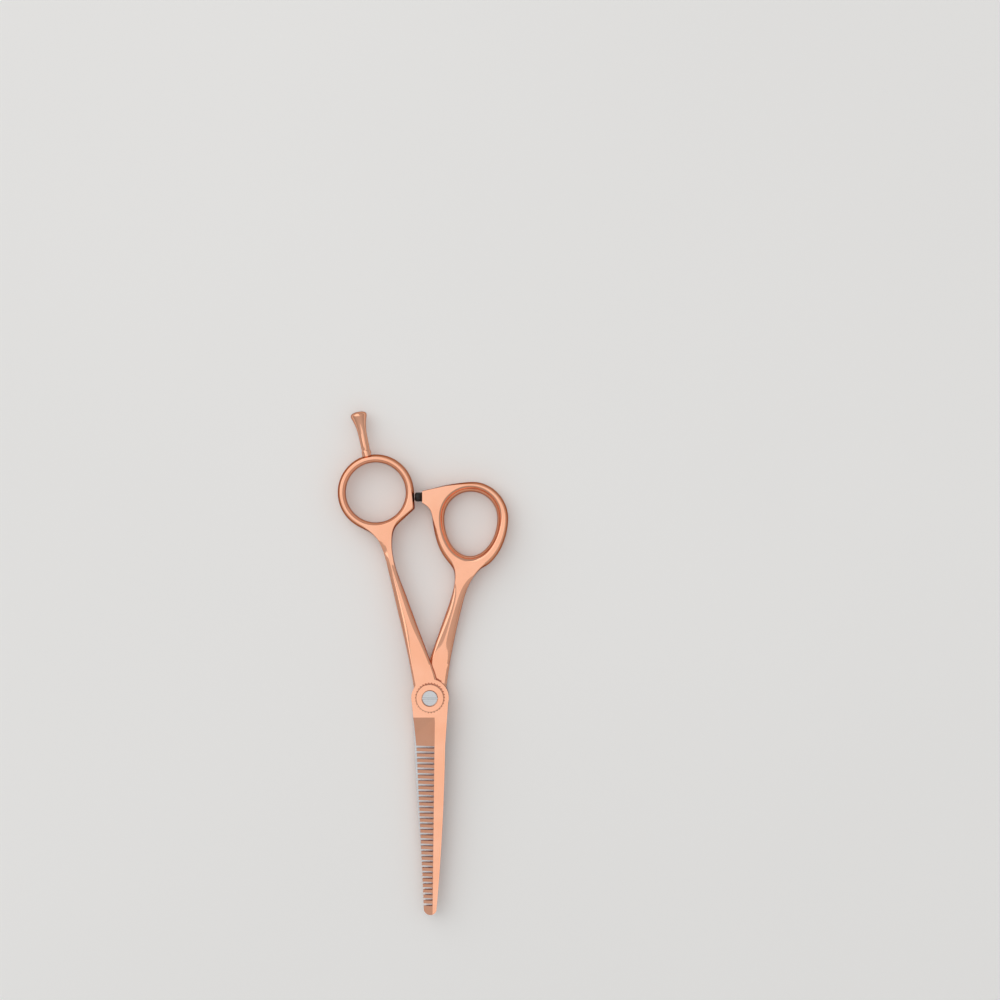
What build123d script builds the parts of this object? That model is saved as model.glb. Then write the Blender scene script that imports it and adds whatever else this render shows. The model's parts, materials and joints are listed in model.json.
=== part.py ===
from build123d import *
import os
from math import acos, cos, degrees, hypot, radians, sin

# Thinning shears, closed and lying flat, in millimetres.
# The origin is on the pivot axis, at the under-face of the pivot bolt's head, which they rest on.
# +Y runs to the handles, -Y to the tips and +Z up. The comb half lies over the plain half.

# ---- both halves ----
blade_reach = 72.0          # pivot axis to the tips
boss_radius = 6.2           # round boss about the pivot
half_thickness = 3.4        # each half at its boss
ride_gap = 0.1              # between the two ride faces
weld_reach = 11.0           # pivot axis to the weld between blade and handle
shank_clear_reach = 17.0    # the shanks stay clear of the ride gap up to here
taper_start = 8.0           # pivot axis to where the blades start to thin
root_angle = 15.0           # degrees down the boss to where the blades leave it

# ---- comb blade: x at the heel and at the nose of its spine, tooth roots and tooth tips ----
comb_heel = 16.0            # pivot axis to the first gap
comb_spine = (5.0, 2.1)
comb_roots = (1.5, 0.8)
comb_tips = (-4.6, -2.1)
comb_nose_thickness = 1.7
comb_nose_radius = 1.5
tooth_count = 30
tooth_pitch = 1.8
tooth_gap = 0.8
tooth_tip_thickness = 0.9
notch_width = 0.5           # small notch in each tooth's tip, which holds the hair
comb_bevel_start = 14.5     # pivot axis to where the bevel over the teeth is fully in
bevel_run_out = 8.0         # length over which each bevel runs out towards the boss

# ---- plain blade: x at the heel and near the tip of its spine, ridge and cutting edge ----
plain_heel = 14.0
plain_spine = (-5.2, -1.3)
plain_ridge = (-2.4, -0.9)
plain_edge = (2.6, 1.0)
plain_tip_x = -0.2
plain_tip_thickness = 1.2
plain_shoulder = 2.0        # length over which the edge closes in to the tip
cutting_edge_thickness = 0.2
edge_bulge = 0.5            # how far the cutting edge and spine bow out
plain_bevel_start = 14.0

# ---- rings ----
ring_height = 5.6
ring_straight = 2.0         # straight stretch in the middle of the bore's wall
finger_centre = (-18.05, 67.8)
finger_bore_radius = 9.9
finger_land_inner = 10.85
finger_land_outer = 11.8
finger_outer_radius = 12.6
corner_angle = -22.6        # degrees round the finger ring to its stop corner
corner_stand = 1.48         # how far the corner stands out of the ring
corner_bite = 0.12          # how far the corner's sides run into the ring
thumb_centre = (13.5, 59.1)
thumb_bore_radius = 8.7
thumb_land_inner = 9.9
thumb_land_outer = 11.5
thumb_outer_radius = 12.3
thumb_stretch = 1.42        # the lower half is longer than round, by this ratio
thumb_lean = 3.0            # degrees that the long end leans towards the pivot
flare_radius = 10.35        # the hollow flare inside the thumb ring's upper edge, at its land
flare_depth = 2.2
flare_shift = (-0.2, 0.55)  # from the ring's centre
finger_neck_sink = 1.8      # how far each handle's neck runs into its ring
thumb_neck_sink = 3.0

# ---- wing on the thumb ring, and its bumper; places are from the ring's centre ----
wing_end_top = 9.1
wing_end_bottom = 5.3
wing_shoulder = (-8.9, 11.0)
wing_hollow = ((-11.5, 1.5), (-12.4, 3.7), (-13.9, 5.1))
wing_side_slope = 0.5       # how much further the wing's sides stand out at mid height
wing_top_angle = 97.0       # degrees round the ring to where the wing's two sides meet it
wing_bottom_angle = 196.5
wing_sink = 0.6             # how far the wing's top side runs into the ring
bumper_y = 66.3
bumper_radius = 1.5
bumper_reach = 2.5          # how far the bumper stands out of the wing
bumper_gap = 0.25           # from the bumper to the stop corner when closed
bumper_stem_radius = 0.8
bumper_stem_length = 2.2

# ---- finger rest ----
rest_lean = 11.7            # degrees that it leans away from the thumb
rest_angle = 13.5           # degrees round the finger ring, from +Y, to the rest's seat
rest_seat_depth = 0.3       # how deep its flat seat is cut into the ring
rest_length = 15.0
rest_base_radius = 1.5
rest_waist_radius = 1.38
rest_rim_radius = 2.65
rest_rim_height = 1.3       # from the rim up over the domed end
rest_dome_edge = 0.45       # how far in and down the dome turns over at the rim
rest_crown_radius = 1.1     # small flat in the middle of the domed end
rest_waist_height = 5.0     # base to the slimmest place
rest_flare_height = 11.0    # base to where the flare is this wide
rest_flare_radius = 1.85
rest_stud_radius = 1.1
rest_stud_length = 1.7

# ---- pivot bolt ----
head_radius = 4.6
head_thickness = 1.5
head_sink = 0.6             # how deep the head sits in the plain blade
head_flat = 4.0             # axis to the head's two flats
head_chamfer = 0.35
barrel_radius = 2.0
thread_radius = 1.75
thread_flat = 1.5           # axis to the thread's two flats, which key the click plate
running_gap = 0.03
loose_gap = 0.08
screw_gap = 0.02

# ---- bush, washers and bearing, from the bottom of the bearing pocket up ----
bush_wall = 0.7
glide_radius = 5.0
glide_thickness = 0.5
bearing_radius = 4.5
bearing_depth = 1.7
race_thickness = 0.3
ball_radius = 0.4
ball_count = 12
ball_ring_radius = 3.3
cage_inner_radius = 2.5
cage_outer_radius = 4.1
cage_thickness = 0.4
spring_washer_height = 0.45
spring_washer_thickness = 0.2
spring_washer_radius = 3.9

# ---- click plate, tension dial and its screw ----
plate_radius = 4.25
plate_thickness = 0.4
click_radius = 3.6
click_count = 12
click_depth = 0.15
dimple_radius = 0.35
click_ball_radius = 0.5
click_hole_depth = 1.6
click_wire_radius = 0.07
click_coil_radius = 0.38
click_coils = 3
dial_radius = 4.9
dial_thickness = 2.1
dial_lift = 0.05            # running gap between the click plate and the dial
dial_skirt_gap = 0.15       # between the dial's skirt and the comb blade
dial_chamfer = 0.5
knurl_count = 30
knurl_radius = 0.32
dial_recess_radius = 2.75
dial_recess_depth = 1.0
screw_head_radius = 2.6
screw_head_thickness = 0.75
screw_head_lift = 0.1       # under the screw's head, so the dial can turn
screw_shank_radius = 0.8
screw_shank_length = 2.6
screw_slot_width = 0.5
screw_slot_depth = 0.35

# ---- heights that follow from the sizes above ----
plain_bottom = head_thickness - head_sink
ride_low = plain_bottom + half_thickness
ride_high = ride_low + ride_gap
comb_top = ride_high + half_thickness
ring_middle = (ride_low + ride_high) / 2
pocket_floor = comb_top - bearing_depth
ball_bottom = pocket_floor + race_thickness
ball_top = ball_bottom + 2 * ball_radius
upper_race_top = ball_top + race_thickness
plate_bottom = upper_race_top + spring_washer_height
plate_top = plate_bottom + plate_thickness
dial_face = plate_top + dial_lift
dial_top = dial_face + dial_thickness
recess_floor = dial_top - dial_recess_depth
finger_joint_radius = (finger_land_inner + finger_land_outer) / 2
thumb_joint_radius = (thumb_land_inner + thumb_land_outer) / 2
bolt_top = recess_floor + screw_head_lift
bush_radius = barrel_radius + running_gap + bush_wall
race_bore_radius = barrel_radius + loose_gap
far = 200.0                 # side of the blocks that cut

# ---- places on the rings that follow from the sizes above ----
finger_bottom = finger_centre[1] - finger_outer_radius
thumb_bottom = thumb_centre[1] - thumb_stretch * thumb_outer_radius
rest_seat = (
    finger_centre[0] - (finger_outer_radius - rest_seat_depth) * sin(radians(rest_angle)),
    finger_centre[1] + (finger_outer_radius - rest_seat_depth) * cos(radians(rest_angle)),
)

# ---- shanks and the necks that flare into the rings: y, x, width, z above the ring's middle, height ----
shank_corner = 0.9
finger_shank = (
    (0.0, -0.6, 8.6, 1.75, half_thickness),
    (12.0, -3.4, 7.0, 1.7, half_thickness + 0.2),
    (24.0, -7.0, 5.2, 1.0, 4.7),
    (36.0, -10.6, 3.7, 0.2, 5.4),
    (finger_bottom - 7.7, -13.8, 2.7, 0.0, ring_height),
)
finger_neck = (
    finger_shank[-1],
    (finger_bottom - 2.8, -15.2, 4.6, 0.0, ring_height),
    (finger_bottom + finger_neck_sink, -17.4, 9.6, 0.0, ring_height),
)
thumb_shank = (
    (0.0, 0.6, 8.6, -1.75, half_thickness),
    (12.0, 3.1, 7.0, -1.7, half_thickness + 0.2),
    (24.0, 6.4, 5.2, -1.0, 4.7),
    (thumb_bottom - 6.5, 9.6, 4.2, -0.1, ring_height - 0.1),
)
thumb_neck = (
    thumb_shank[-1],
    (thumb_bottom - 1.5, 11.2, 6.2, 0.0, ring_height),
    (thumb_bottom + thumb_neck_sink, 12.7, 10.6, 0.0, ring_height),
)

on_base = (Align.CENTER, Align.CENTER, Align.MIN)
hung = (Align.CENTER, Align.CENTER, Align.MAX)


def round_at(radius, angle):
    """The point at an angle in degrees on a circle about the origin."""
    return radius * cos(radians(angle)), radius * sin(radians(angle))


def disc(radius, bottom, top, bore=0.0):
    """A round plate about the pivot axis, or a ring if it has a bore."""
    plate = Pos(0, 0, bottom) * Cylinder(radius, top - bottom, align=on_base)
    if bore:
        plate -= Pos(0, 0, bottom) * Cylinder(bore, top - bottom, align=on_base)
    return plate


def double_flat(radius, flat, bottom, top):
    """A disc with two flats, each at the distance flat from its axis."""
    return disc(radius, bottom, top) & Box(2 * flat, far, far)


def block_above(a, b, c):
    """A large block on the upper side of the plane through three points."""
    across = Vector(*b) - Vector(*a)
    normal = across.cross(Vector(*c) - Vector(*a)).normalized()
    if normal.Z < 0:
        normal = -normal
    return Plane(origin=a, x_dir=across, z_dir=normal) * Box(far, far, far, align=on_base)


def block_below(a, b, c):
    """A large block on the lower side of the plane through three points."""
    across = Vector(*b) - Vector(*a)
    normal = across.cross(Vector(*c) - Vector(*a)).normalized()
    if normal.Z > 0:
        normal = -normal
    return Plane(origin=a, x_dir=across, z_dir=normal) * Box(far, far, far, align=on_base)


def between(pair, y, start):
    """The x on the line from a blade's heel at start to its tip, at the distance y from the pivot."""
    share = (y - start) / (blade_reach - start)
    return pair[0] + (pair[1] - pair[0]) * share


def bowed(start, end, bulge):
    """An arc from start to end that bows out by bulge, to the left of the way it runs."""
    middle = ((start[0] + end[0]) / 2, (start[1] + end[1]) / 2)
    length = hypot(end[0] - start[0], end[1] - start[1])
    left = (-(end[1] - start[1]) / length, (end[0] - start[0]) / length)
    return ThreePointArc(start, (middle[0] + bulge * left[0], middle[1] + bulge * left[1]), end)


# ---- comb blade ----
def comb_outline():
    """The comb blade's outline, with the gaps between its teeth and a notch in each tip."""
    nose = -blade_reach
    shoulder = nose + comb_nose_radius
    nose_x = (comb_tips[1] + comb_spine[1]) / 2
    root_x, root_y = round_at(boss_radius, -root_angle)
    edges = [
        Line((-root_x, root_y), (comb_tips[0], -comb_heel)),
        Line((comb_tips[0], -comb_heel), (comb_tips[1], shoulder)),
        ThreePointArc((comb_tips[1], shoulder), (nose_x, nose), (comb_spine[1], shoulder)),
        bowed((comb_spine[1], shoulder), (comb_spine[0], -comb_heel), -edge_bulge),
        Line((comb_spine[0], -comb_heel), (root_x, root_y)),
        Line((root_x, root_y), (-root_x, root_y)),
    ]
    outline = make_face(edges)
    cuts = Sketch()
    for tooth in range(tooth_count):
        y = comb_heel + tooth_pitch * tooth + tooth_gap / 2
        root = between(comb_roots, y, comb_heel)
        tip = between(comb_tips, y, comb_heel)
        reach = root - tip + tooth_pitch
        slot = Pos(root - tooth_gap / 2, -y) * (
            Circle(tooth_gap / 2) + Rectangle(reach, tooth_gap, align=(Align.MAX, Align.CENTER))
        )
        cuts += slot
    for tooth in range(tooth_count - 1):
        y = comb_heel + tooth_pitch * tooth + tooth_gap / 2 + tooth_pitch / 2
        tip = between(comb_tips, y, comb_heel)
        cuts += Pos(tip, -y) * RegularPolygon(notch_width / 2, 4)
    return outline - cuts


def comb_plate():
    """The toothed blade, thinned towards its nose and bevelled over its teeth."""
    plate = Pos(0, 0, ride_high) * extrude(comb_outline(), half_thickness)
    nose_top = ride_high + comb_nose_thickness
    plate -= block_above(
        (0, -taper_start, comb_top), (1, -taper_start, comb_top), (0, -blade_reach, nose_top)
    )
    taper = (comb_top - nose_top) / (blade_reach - taper_start)
    heel_top = comb_top - taper * (comb_heel - taper_start)
    bevel = block_above(
        (comb_roots[0], -comb_heel, heel_top),
        (comb_roots[1], -blade_reach, nose_top),
        (comb_tips[0], -comb_heel, ride_high + tooth_tip_thickness),
    )
    run_out = block_above(
        (0, -comb_bevel_start, ride_high),
        (1, -comb_bevel_start, ride_high),
        (0, bevel_run_out - comb_bevel_start, comb_top),
    )
    return plate - (bevel & run_out)


# ---- plain blade ----
def plain_outline():
    """The plain blade's outline, with a bowed spine and a bowed cutting edge."""
    tip = (plain_tip_x, -blade_reach)
    shoulder = -blade_reach + plain_shoulder
    root_x, root_y = round_at(boss_radius, -root_angle)
    edges = [
        Line((-root_x, root_y), (plain_spine[0], -plain_heel)),
        bowed((plain_spine[0], -plain_heel), (plain_spine[1], shoulder), -edge_bulge),
        Line((plain_spine[1], shoulder), tip),
        Line(tip, (plain_edge[1], shoulder)),
        bowed((plain_edge[1], shoulder), (plain_edge[0], -plain_heel), -edge_bulge),
        Line((plain_edge[0], -plain_heel), (root_x, root_y)),
        Line((root_x, root_y), (-root_x, root_y)),
    ]
    return make_face(edges)


def plain_plate():
    """The cutting blade, thinned towards its tip and bevelled to its cutting edge."""
    plate = Pos(0, 0, plain_bottom) * extrude(plain_outline(), half_thickness)
    tip_bottom = ride_low - plain_tip_thickness
    plate -= block_below(
        (0, -taper_start, plain_bottom), (1, -taper_start, plain_bottom), (0, -blade_reach, tip_bottom)
    )
    taper = (tip_bottom - plain_bottom) / (blade_reach - taper_start)
    heel_bottom = plain_bottom + taper * (plain_heel - taper_start)
    bevel = block_below(
        (plain_ridge[0], -plain_heel, heel_bottom),
        (plain_ridge[1], -blade_reach, tip_bottom),
        (plain_edge[0] + edge_bulge, -plain_heel, ride_low - cutting_edge_thickness),
    )
    run_out = block_below(
        (0, -plain_bevel_start, ride_low),
        (1, -plain_bevel_start, ride_low),
        (0, bevel_run_out - plain_bevel_start, plain_bottom),
    )
    return plate - (bevel & run_out)


# ---- rings and shanks ----
def ring_section(bore, land_inner, land_outer, outer):
    """Half of a ring's cut face: flat lands, a bowed outside and a bore that rounds into its lands."""
    top = ring_height / 2
    straight = ring_straight / 2
    return Plane.XZ * make_face([
        Line((land_inner, top), (land_outer, top)),
        ThreePointArc((land_outer, top), (outer, 0), (land_outer, -top)),
        Line((land_outer, -top), (land_inner, -top)),
        TangentArc((bore, -straight), (land_inner, -top), tangent=(0, -1)),
        Line((bore, -straight), (bore, straight)),
        TangentArc((bore, straight), (land_inner, top), tangent=(0, 1)),
    ])


def ridged(land, middle):
    """A plate as high as the rings: the land outline at both faces and the wider one in the middle."""
    lands = (Pos(0, 0, -ring_height / 2) * land, Pos(0, 0, ring_height / 2) * land)
    return loft([lands[0], middle, lands[1]], ruled=True)


def bar(sections):
    """A rounded bar through sections given as y, x, width, height above the ring's middle, thickness."""
    faces = []
    for y, x, width, lift, thickness in sections:
        place = Plane(origin=(x, y, ring_middle + lift), x_dir=(1, 0, 0), z_dir=(0, 1, 0))
        faces.append(place * RectangleRounded(width, thickness, shank_corner))
    return loft(faces)


stop_corner = round_at(finger_outer_radius + corner_stand, corner_angle)
corner_spread = degrees(acos((finger_outer_radius - corner_bite) / (finger_outer_radius + corner_stand)))
corner_top = round_at(finger_outer_radius - corner_bite, corner_angle + corner_spread)
corner_bottom = round_at(finger_outer_radius - corner_bite, corner_angle - corner_spread)
bumper_share = (bumper_y - finger_centre[1] - stop_corner[1]) / (corner_top[1] - stop_corner[1])
stop_face_x = finger_centre[0] + stop_corner[0] + (corner_top[0] - stop_corner[0]) * bumper_share
wing_end_x = stop_face_x + bumper_gap + bumper_reach


def finger_ring():
    """The round finger ring with its stop corner, and the socket of its finger rest."""
    band = revolve(
        ring_section(finger_bore_radius, finger_land_inner, finger_land_outer, finger_outer_radius), Axis.Z
    )
    middle = make_face(Polyline((0, 0), corner_bottom, stop_corner, corner_top, close=True))
    corner = ridged(scale(middle, by=finger_land_outer / finger_outer_radius), middle)
    ring = Pos(*finger_centre, ring_middle) * (band + (corner - Cylinder(finger_joint_radius, far)))
    return ring - rest_socket()


def thumb_flare():
    """What the thumb ring's upper edge loses to the hollow flare that eases the thumb in."""
    land = ring_height / 2
    section = make_face([
        Line((0, land - flare_depth), (thumb_bore_radius - flare_shift[1], land - flare_depth)),
        TangentArc(
            (thumb_bore_radius - flare_shift[1], land - flare_depth), (flare_radius, land), tangent=(0, 1)
        ),
        Line((flare_radius, land), (0, land)),
        Line((0, land), (0, land - flare_depth)),
    ])
    return Pos(*flare_shift) * revolve(Plane.XZ * section, Axis.Z)


def thumb_ring():
    """The thumb ring, round at the top and longer at the bottom."""
    section = ring_section(thumb_bore_radius, thumb_land_inner, thumb_land_outer, thumb_outer_radius)
    upper = revolve(section, Axis.Z, revolution_arc=180)
    lower = scale(Rot(0, 0, 180) * upper, by=(1, thumb_stretch, 1))
    ring = upper + lower - thumb_flare()
    return Pos(*thumb_centre, ring_middle) * Rot(0, 0, -thumb_lean) * ring


def thumb_hole(radius):
    """A tall block with the outline of the thumb ring's hole at the given radius."""
    round_half = Cylinder(radius, far) & Box(far, far, far, align=(Align.CENTER, Align.MIN, Align.CENTER))
    long_half = scale(Rot(0, 0, 180) * round_half, by=(1, thumb_stretch, 1))
    return Pos(*thumb_centre, ring_middle) * Rot(0, 0, -thumb_lean) * (round_half + long_half)


def moved_right(points, distance):
    """Points moved to the right of the way they run."""
    moved = []
    for number, (x, y) in enumerate(points):
        before = points[max(number - 1, 0)]
        after = points[min(number + 1, len(points) - 1)]
        length = hypot(after[0] - before[0], after[1] - before[1])
        right = ((after[1] - before[1]) / length, -(after[0] - before[0]) / length)
        moved.append((x + distance * right[0], y + distance * right[1]))
    return moved


def wing_outline(spread):
    """The wing's outline about the thumb ring's centre, its long sides spread outwards and its end flat."""
    end_x = wing_end_x - thumb_centre[0]
    top_root = round_at(thumb_outer_radius - wing_sink, wing_top_angle)
    bottom_root = round_at(thumb_joint_radius, wing_bottom_angle)
    top = moved_right([(end_x, wing_end_top), wing_shoulder, top_root], -spread)
    bottom = moved_right([bottom_root, *wing_hollow, (end_x, wing_end_bottom)], -spread)
    top[0] = (end_x, top[0][1])
    bottom[-1] = (end_x, bottom[-1][1])
    return make_face([Spline(*top), Line(top[-1], bottom[0]), Spline(*bottom), Line(bottom[-1], top[0])])


def wing():
    """The stop wing on the thumb ring's inner side, with a flat end for the bumper."""
    return Pos(*thumb_centre, ring_middle) * ridged(wing_outline(0), wing_outline(wing_side_slope))


# ---- blades and handles: each shank is cut at the weld, and is flat beside the ride gap ----
below_weld = Pos(0, weld_reach, 0) * Box(far, far, far, align=(Align.CENTER, Align.MAX, Align.CENTER))


def flat_bar(sections, bottom, top):
    """A shank, trimmed between two heights as far as it lies over the other half."""
    slab = Box(far, shank_clear_reach, far, align=(Align.CENTER, Align.MIN, Align.MIN))
    return bar(sections) - Pos(0, 0, top) * slab - Pos(0, 0, bottom - far) * slab


def comb_blade():
    """The comb blade: boss, toothed plate and the shank's root, bored for its bush and its bearing."""
    blade = flat_bar(finger_shank, ride_high, comb_top) & below_weld
    blade += disc(boss_radius, ride_high, comb_top)
    blade += comb_plate()
    return blade - disc(bush_radius, ride_high, pocket_floor) - disc(bearing_radius, pocket_floor, comb_top)


def finger_handle():
    """The finger handle: shank, neck and ring."""
    handle = flat_bar(finger_shank, ride_high, comb_top) - below_weld
    handle += bar(finger_neck) - Pos(*finger_centre) * Cylinder(finger_joint_radius, far)
    return handle + finger_ring()


def plain_blade():
    """The plain blade: boss, cutting plate and shank's root, with pockets for the bolt and glide washer."""
    blade = flat_bar(thumb_shank, plain_bottom, ride_low) & below_weld
    blade += disc(boss_radius, plain_bottom, ride_low)
    blade += plain_plate()
    return blade - head_pocket() - disc(glide_radius, ride_high - glide_thickness, ride_high)


def thumb_handle():
    """The thumb handle: shank, neck, ring and wing, with the hole for the bumper's stem."""
    handle = flat_bar(thumb_shank, plain_bottom, ride_low) - below_weld
    handle += bar(thumb_neck) - thumb_hole(thumb_joint_radius)
    handle += wing() - thumb_hole(thumb_joint_radius)
    return handle + thumb_ring() - bumper_socket()


# ---- finger rest ----
rest_place = Plane(
    origin=(*rest_seat, ring_middle),
    x_dir=(cos(radians(rest_lean)), sin(radians(rest_lean)), 0),
    z_dir=(-sin(radians(rest_lean)), cos(radians(rest_lean)), 0),
)


def finger_rest():
    """The turned finger rest: a stud, a slim waist and a flared, domed end."""
    rim_bottom = rest_length - rest_rim_height
    section = Plane.XZ * make_face([
        Line((0, -rest_stud_length), (rest_stud_radius, -rest_stud_length)),
        Line((rest_stud_radius, -rest_stud_length), (rest_stud_radius, 0)),
        Line((rest_stud_radius, 0), (rest_base_radius, 0)),
        Spline(
            (rest_base_radius, 0),
            (rest_waist_radius, rest_waist_height),
            (rest_flare_radius, rest_flare_height),
            (rest_rim_radius, rim_bottom),
        ),
        Spline(
            (rest_rim_radius, rim_bottom),
            (rest_rim_radius - rest_dome_edge, rest_length - rest_dome_edge),
            (rest_crown_radius, rest_length),
        ),
        Line((rest_crown_radius, rest_length), (0, rest_length)),
        Line((0, rest_length), (0, -rest_stud_length)),
    ])
    return rest_place * revolve(section, Axis.Z)


def rest_socket():
    """What the finger ring loses to the finger rest: its tapped hole and a flat seat."""
    hole = Cylinder(rest_stud_radius + screw_gap, rest_stud_length + screw_gap, align=hung)
    seat = Cylinder(rest_base_radius + loose_gap, rest_length, align=on_base)
    return rest_place * (hole + seat)


# ---- bumper ----
bumper_place = Plane(origin=(wing_end_x, bumper_y, ring_middle), x_dir=(0, 1, 0), z_dir=(-1, 0, 0))


def bumper():
    """The rubber bumper: a stem in the wing and a round-ended nub."""
    stem = Cylinder(bumper_stem_radius, bumper_stem_length, align=hung)
    nub = Cylinder(bumper_radius, bumper_reach, align=on_base)
    nub = fillet(nub.edges().group_by(Axis.Z)[-1], bumper_radius / 2)
    return bumper_place * (stem + nub)


def bumper_socket():
    """The hole in the wing's end that holds the bumper's stem."""
    return bumper_place * Cylinder(bumper_stem_radius, bumper_stem_length + screw_gap, align=hung)


# ---- pivot ----
def pivot_bolt():
    """The bolt: a head with two flats, a smooth barrel and a flatted thread with a tapped end."""
    head = chamfer(disc(head_radius, 0, head_thickness).edges().group_by(Axis.Z)[0], head_chamfer)
    head &= Box(2 * head_flat, far, far)
    barrel = disc(barrel_radius, 0, plate_bottom - dial_lift)
    thread = double_flat(thread_radius, thread_flat, 0, bolt_top)
    bolt = head + barrel + thread
    return bolt - disc(screw_shank_radius, bolt_top - screw_shank_length - screw_gap, bolt_top)


def head_pocket():
    """What the plain blade loses to the bolt: a bore, and a pocket for the head with its flats."""
    radius = head_radius + loose_gap
    pocket = double_flat(radius, head_flat + loose_gap, plain_bottom - head_thickness, head_thickness)
    return pocket + disc(barrel_radius + screw_gap, 0, ride_high)


def glide_washer():
    """The plastic washer between the blades, sunk in the plain blade."""
    return disc(glide_radius, ride_high - glide_thickness, ride_high, barrel_radius + loose_gap)


def pivot_bush():
    """The bush in the comb blade that runs on the bolt's barrel."""
    return disc(bush_radius, ride_high, pocket_floor, barrel_radius + running_gap)


def race(bottom):
    """A bearing washer in the comb blade's pocket."""
    return disc(bearing_radius - loose_gap, bottom, bottom + race_thickness, race_bore_radius)


def bearing_balls():
    """The ring of balls, each one a solid."""
    height = ball_bottom + ball_radius
    return [
        Rot(0, 0, 360 / ball_count * number) * Pos(ball_ring_radius, 0, height) * Sphere(ball_radius)
        for number in range(ball_count)
    ]


def bearing_cage():
    """The cage, with a pocket for each ball."""
    height = ball_bottom + ball_radius
    half = cage_thickness / 2
    cage = disc(cage_outer_radius, height - half, height + half, cage_inner_radius)
    pockets = [
        Rot(0, 0, 360 / ball_count * number) * Pos(ball_ring_radius, 0, height)
        * Cylinder(ball_radius + running_gap, ball_radius * 2)
        for number in range(ball_count)
    ]
    return cage - pockets


def spring_washer():
    """The disc spring: a thin cone that bears on the upper race outside and the click plate inside."""
    section = Polyline(
        (spring_washer_radius, upper_race_top),
        (spring_washer_radius, upper_race_top + spring_washer_thickness),
        (race_bore_radius, plate_bottom),
        (race_bore_radius, plate_bottom - spring_washer_thickness),
        close=True,
    )
    return revolve(Plane.XZ * make_face(section), Axis.Z)


def click_plate():
    """The plate keyed to the bolt, with a shallow track and a ring of dimples for the click ball."""
    plate = disc(plate_radius, plate_bottom, plate_top)
    plate -= double_flat(thread_radius + loose_gap, thread_flat + loose_gap, plate_bottom, plate_top)
    half = (click_depth * (2 * click_ball_radius - click_depth)) ** 0.5 + running_gap
    track_floor = plate_top - click_depth - running_gap
    track = disc(click_radius + half, track_floor, plate_top, click_radius - half)
    dimples = [
        Rot(0, 0, 360 / click_count * number) * Pos(click_radius, 0, plate_top - click_depth)
        * Cylinder(dimple_radius, click_depth)
        for number in range(click_count)
    ]
    return plate - track - dimples


click_ball_height = plate_top - click_depth + click_ball_radius
click_hole_top = dial_face + click_hole_depth


def click_ball():
    """The ball that the click spring presses into the dimples."""
    return Pos(click_radius, 0, click_ball_height) * Sphere(click_ball_radius)


def click_spring():
    """The small coil spring between the ball and the top of its hole."""
    touch = click_ball_radius + click_wire_radius
    bottom = click_ball_height + (touch ** 2 - click_coil_radius ** 2) ** 0.5 + screw_gap
    height = click_hole_top - click_wire_radius - screw_gap - bottom
    coil = Helix(height / click_coils, height, click_coil_radius)
    wire = Plane(origin=coil @ 0, z_dir=coil % 0) * Circle(click_wire_radius)
    return Pos(click_radius, 0, bottom) * sweep(wire, path=coil)


def tension_dial():
    """The knurled dial: a skirt over the click plate, a recess for its screw, a hole for the click ball."""
    skirt_bottom = comb_top + dial_skirt_gap
    dial = disc(dial_radius, skirt_bottom, dial_top)
    dial = chamfer(dial.edges().group_by(Axis.Z)[-1], dial_chamfer)
    dial -= disc(plate_radius + loose_gap, skirt_bottom, dial_face)
    dial -= disc(thread_radius + loose_gap, skirt_bottom, dial_top)
    dial -= disc(dial_recess_radius, recess_floor, dial_top)
    click_hole = Cylinder(click_ball_radius + running_gap, click_hole_depth, align=on_base)
    dial -= Pos(click_radius, 0, dial_face) * click_hole
    grooves = [
        Rot(0, 0, 360 / knurl_count * (number + 0.5)) * Pos(dial_radius, 0, dial_top) * Cylinder(knurl_radius, far)
        for number in range(knurl_count)
    ]
    return dial - grooves


def dial_screw():
    """The slotted screw in the bolt's end, which keeps the dial on."""
    head = disc(screw_head_radius, bolt_top, bolt_top + screw_head_thickness)
    head = chamfer(head.edges().group_by(Axis.Z)[-1], screw_slot_depth / 2)
    slot = Box(far, screw_slot_width, screw_slot_depth, align=hung)
    head -= Pos(0, 0, bolt_top + screw_head_thickness) * slot
    return head + disc(screw_shank_radius, bolt_top - screw_shank_length, bolt_top)


# ---- the finished pieces ----
pieces = {
    "comb_blade": comb_blade(),
    "finger_handle": finger_handle(),
    "finger_rest": finger_rest(),
    "plain_blade": plain_blade(),
    "thumb_handle": thumb_handle(),
    "bumper": bumper(),
    "pivot_bolt": pivot_bolt(),
    "glide_washer": glide_washer(),
    "pivot_bush": pivot_bush(),
    "lower_race": race(pocket_floor),
    "bearing_balls": Compound(children=bearing_balls()),
    "bearing_cage": bearing_cage(),
    "upper_race": race(ball_top),
    "spring_washer": spring_washer(),
    "click_plate": click_plate(),
    "click_ball": click_ball(),
    "click_spring": click_spring(),
    "tension_dial": tension_dial(),
    "dial_screw": dial_screw(),
}
os.makedirs("parts", exist_ok=True)
for name, piece in pieces.items():
    export_step(piece, f"parts/{name}.step")
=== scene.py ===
import json
import math
from collections import namedtuple

import bmesh
import bpy
from bpy.props import FloatProperty, FloatVectorProperty, PointerProperty
from mathutils import Matrix, Vector


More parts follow.
